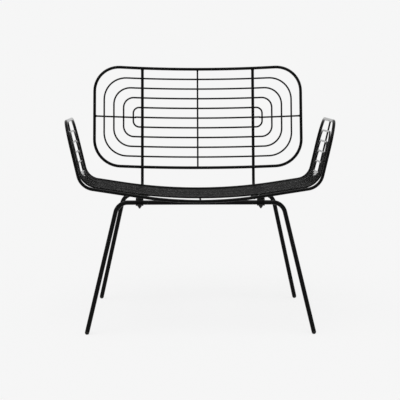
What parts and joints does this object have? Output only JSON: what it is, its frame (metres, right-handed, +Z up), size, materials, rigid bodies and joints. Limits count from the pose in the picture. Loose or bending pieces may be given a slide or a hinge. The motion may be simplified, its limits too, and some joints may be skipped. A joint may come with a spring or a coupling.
{
  "type": "wire lounge armchair",
  "caption": "Low black lounge armchair of welded steel wire: nested loops form a reclined back and a seat shell that turns up into the arms, on two bent tube leg frames.",
  "frame": {"origin": "on the floor, in the middle of the chair's width and depth", "axes": "+Z up, the sitter faces -Y, +X to the right as seen from the front"},
  "size_m": [0.7876, 0.689, 0.7242],
  "materials": {
    "powder_coat": "satin black powder coat",
    "glide_plastic": "matt black",
    "saddle_plastic": "matt black",
    "black_fasteners": "blackened steel"
  },
  "bodies": {
    "root": {"arm_wire_left": "powder_coat", "arm_wire_right": "powder_coat", "back_centre_strut": "powder_coat", "back_centre_wire": "powder_coat", "back_loop_1": "powder_coat", "back_loop_2": "powder_coat", "back_loop_3": "powder_coat", "back_loop_4": "powder_coat", "back_rail_left": "powder_coat", "back_rail_right": "powder_coat", "back_ring": "powder_coat", "back_side_wire_left": "powder_coat", "back_side_wire_right": "powder_coat", "cupped_washers": "black_fasteners", "front_left_glide": "glide_plastic", "front_leg_frame": "powder_coat", "front_right_glide": "glide_plastic", "lock_nuts": "black_fasteners", "mount_plate_front_left": "powder_coat", "mount_plate_front_right": "powder_coat", "mount_plate_rear_left": "powder_coat", "mount_plate_rear_right": "powder_coat", "rear_left_glide": "glide_plastic", "rear_leg_frame": "powder_coat", "rear_right_glide": "glide_plastic", "saddle_front_left": "saddle_plastic", "saddle_front_right": "saddle_plastic", "saddle_rear_left": "saddle_plastic", "saddle_rear_right": "saddle_plastic", "seat_centre_wire": "powder_coat", "seat_cross_wire": "powder_coat", "seat_loop_1": "powder_coat", "seat_loop_2": "powder_coat", "seat_loop_3": "powder_coat", "seat_loop_4": "powder_coat", "seat_loop_5": "powder_coat", "seat_loop_6": "powder_coat", "seat_loop_7": "powder_coat", "seat_ring": "powder_coat"}
  },
  "joints": []
}
